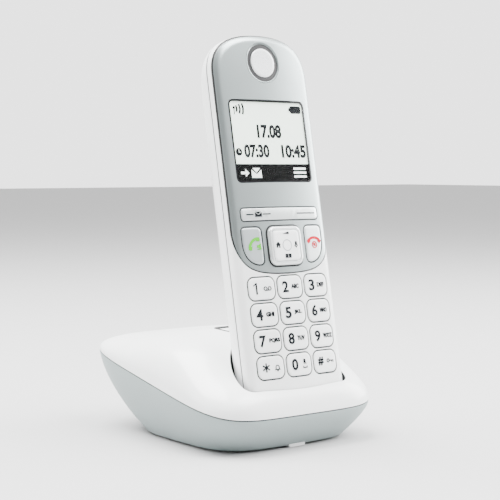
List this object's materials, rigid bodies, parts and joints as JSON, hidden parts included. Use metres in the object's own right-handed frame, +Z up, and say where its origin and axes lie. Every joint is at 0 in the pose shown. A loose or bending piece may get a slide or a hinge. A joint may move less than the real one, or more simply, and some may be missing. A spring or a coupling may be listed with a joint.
{
  "type": "cordless phone with base",
  "caption": "Cordless telephone handset with a display, keypad and rocking navigation key, standing leaned back in a charging base with a page key.",
  "frame": {"origin": "on the surface it stands on, below the middle of the base", "axes": "+X to the right across the face, +Y from the face to the back of the base, +Z up"},
  "size_m": [0.0872, 0.1044, 0.1653],
  "materials": {
    "white_plastic": "satin moulded white",
    "base_hull_plastic": "fine satin white",
    "key_plastic": "smooth white",
    "silver_panel": "silver lacquer, satin",
    "black_trim": "black, low gloss",
    "display_lens": "clear, polished",
    "display_screen": "pale liquid crystal",
    "rubber": "grey elastomer",
    "circuit_board": "solder mask",
    "contact_metal": "plated",
    "screw_steel": "zinc plated",
    "cell_wrap": "printed green sleeve"
  },
  "bodies": {
    "base": {"base_bottom_shell": "base_hull_plastic", "base_top_cover": "white_plastic", "base_circuit_board": "circuit_board", "page_switch": "black_trim", "power_socket": "black_trim", "line_socket": "black_trim", "rubber_foot_front_left": "rubber", "rubber_foot_front_right": "rubber", "rubber_foot_back_left": "rubber", "rubber_foot_back_right": "rubber", "base_screw_left": "screw_steel", "base_screw_right": "screw_steel"},
    "handset": {"handset_front_shell": "white_plastic", "handset_rear_shell": "white_plastic", "face_panel": "silver_panel", "display_window": "display_lens", "display_frame": "black_trim", "lcd_module": "display_screen", "earpiece_ring": "black_trim", "earpiece_disc": "silver_panel", "earpiece_speaker": "black_trim", "microphone": "black_trim", "loudspeaker": "black_trim", "antenna": "contact_metal", "keypad_mat": "rubber", "handset_circuit_board": "circuit_board", "battery_cell_left": "cell_wrap", "battery_cell_right": "cell_wrap", "battery_spring_lower": "contact_metal", "battery_spring_upper": "contact_metal", "charge_pad_left": "contact_metal", "charge_pad_right": "contact_metal", "shell_screw_left": "screw_steel", "shell_screw_right": "screw_steel"},
    "page_key": {"page_key": "white_plastic"},
    "charge_contact_left": {"charge_contact_left": "contact_metal"},
    "charge_contact_right": {"charge_contact_right": "contact_metal"},
    "battery_cover": {"battery_cover": "white_plastic"},
    "talk_key": {"talk_key": "key_plastic"},
    "end_key": {"end_key": "key_plastic"},
    "softkey_bar": {"softkey_bar": "silver_panel"},
    "nav_carrier": {"nav_carrier": "black_trim"},
    "nav_key": {"nav_key": "silver_panel"},
    "key_1": {"key_1": "key_plastic"},
    "key_2": {"key_2": "key_plastic"},
    "key_3": {"key_3": "key_plastic"},
    "key_4": {"key_4": "key_plastic"},
    "key_5": {"key_5": "key_plastic"},
    "key_6": {"key_6": "key_plastic"},
    "key_7": {"key_7": "key_plastic"},
    "key_8": {"key_8": "key_plastic"},
    "key_9": {"key_9": "key_plastic"},
    "key_star": {"key_star": "key_plastic"},
    "key_0": {"key_0": "key_plastic"},
    "key_hash": {"key_hash": "key_plastic"}
  },
  "joints": [
    {"name": "handset_lift", "type": "slide", "parent": "base", "child": "handset", "axis": [0, 0.192, 0.9814], "range_m": [0, 0.06]},
    {"name": "page_key_press", "type": "slide", "parent": "base", "child": "page_key", "axis": [0, 0, -1], "range_m": [0, 0.0009], "stiffness_N_per_m": 1500},
    {"name": "charge_contact_left_spring", "type": "slide", "parent": "base", "child": "charge_contact_left", "axis": [0, 0.192, 0.9814], "range_m": [-0.0008, 0], "stiffness_N_per_m": 800},
    {"name": "charge_contact_right_spring", "type": "slide", "parent": "base", "child": "charge_contact_right", "axis": [0, 0.192, 0.9814], "range_m": [-0.0008, 0], "stiffness_N_per_m": 800},
    {"name": "key_1_press", "type": "slide", "parent": "handset", "child": "key_1", "axis": [0, 0.9814, -0.192], "range_m": [0, 0.0006], "stiffness_N_per_m": 1500},
    {"name": "key_2_press", "type": "slide", "parent": "handset", "child": "key_2", "axis": [0, 0.9814, -0.192], "range_m": [0, 0.0006], "stiffness_N_per_m": 1500},
    {"name": "key_3_press", "type": "slide", "parent": "handset", "child": "key_3", "axis": [0, 0.9814, -0.192], "range_m": [0, 0.0006], "stiffness_N_per_m": 1500},
    {"name": "key_4_press", "type": "slide", "parent": "handset", "child": "key_4", "axis": [0, 0.9814, -0.192], "range_m": [0, 0.0006], "stiffness_N_per_m": 1500},
    {"name": "key_5_press", "type": "slide", "parent": "handset", "child": "key_5", "axis": [0, 0.9814, -0.192], "range_m": [0, 0.0006], "stiffness_N_per_m": 1500},
    {"name": "key_6_press", "type": "slide", "parent": "handset", "child": "key_6", "axis": [0, 0.9814, -0.192], "range_m": [0, 0.0006], "stiffness_N_per_m": 1500},
    {"name": "key_7_press", "type": "slide", "parent": "handset", "child": "key_7", "axis": [0, 0.9814, -0.192], "range_m": [0, 0.0006], "stiffness_N_per_m": 1500},
    {"name": "key_8_press", "type": "slide", "parent": "handset", "child": "key_8", "axis": [0, 0.9814, -0.192], "range_m": [0, 0.0006], "stiffness_N_per_m": 1500},
    {"name": "key_9_press", "type": "slide", "parent": "handset", "child": "key_9", "axis": [0, 0.9814, -0.192], "range_m": [0, 0.0006], "stiffness_N_per_m": 1500},
    {"name": "key_star_press", "type": "slide", "parent": "handset", "child": "key_star", "axis": [0, 0.9814, -0.192], "range_m": [0, 0.0006], "stiffness_N_per_m": 1500},
    {"name": "key_0_press", "type": "slide", "parent": "handset", "child": "key_0", "axis": [0, 0.9814, -0.192], "range_m": [0, 0.0006], "stiffness_N_per_m": 1500},
    {"name": "key_hash_press", "type": "slide", "parent": "handset", "child": "key_hash", "axis": [0, 0.9814, -0.192], "range_m": [0, 0.0006], "stiffness_N_per_m": 1500},
    {"name": "talk_key_press", "type": "slide", "parent": "handset", "child": "talk_key", "axis": [0, 0.9814, -0.192], "range_m": [0, 0.0006], "stiffness_N_per_m": 1500},
    {"name": "end_key_press", "type": "slide", "parent": "handset", "child": "end_key", "axis": [0, 0.9814, -0.192], "range_m": [0, 0.0006], "stiffness_N_per_m": 1500},
    {"name": "softkey_rock", "type": "hinge", "parent": "handset", "child": "softkey_bar", "pos_m": [0, -0.03097, 0.09341], "axis": [0, 0.192, 0.9814], "range_deg": [-2.5, 2.5], "stiffness_Nm_per_rad": 0.3},
    {"name": "nav_up_down_rock", "type": "hinge", "parent": "handset", "child": "nav_carrier", "pos_m": [0, -0.03223, 0.0802], "axis": [1, 0, 0], "range_deg": [-2.5, 2.5], "stiffness_Nm_per_rad": 0.2},
    {"name": "nav_left_right_rock", "type": "hinge", "parent": "nav_carrier", "child": "nav_key", "pos_m": [0, -0.03223, 0.0802], "axis": [0, 0.192, 0.9814], "range_deg": [-2.5, 2.5], "stiffness_Nm_per_rad": 0.2},
    {"name": "battery_cover_hinge", "type": "hinge", "parent": "handset", "child": "battery_cover", "pos_m": [0, -0.01521, 0.05415], "axis": [-1, 0, 0], "range_deg": [0, 60]}
  ]
}
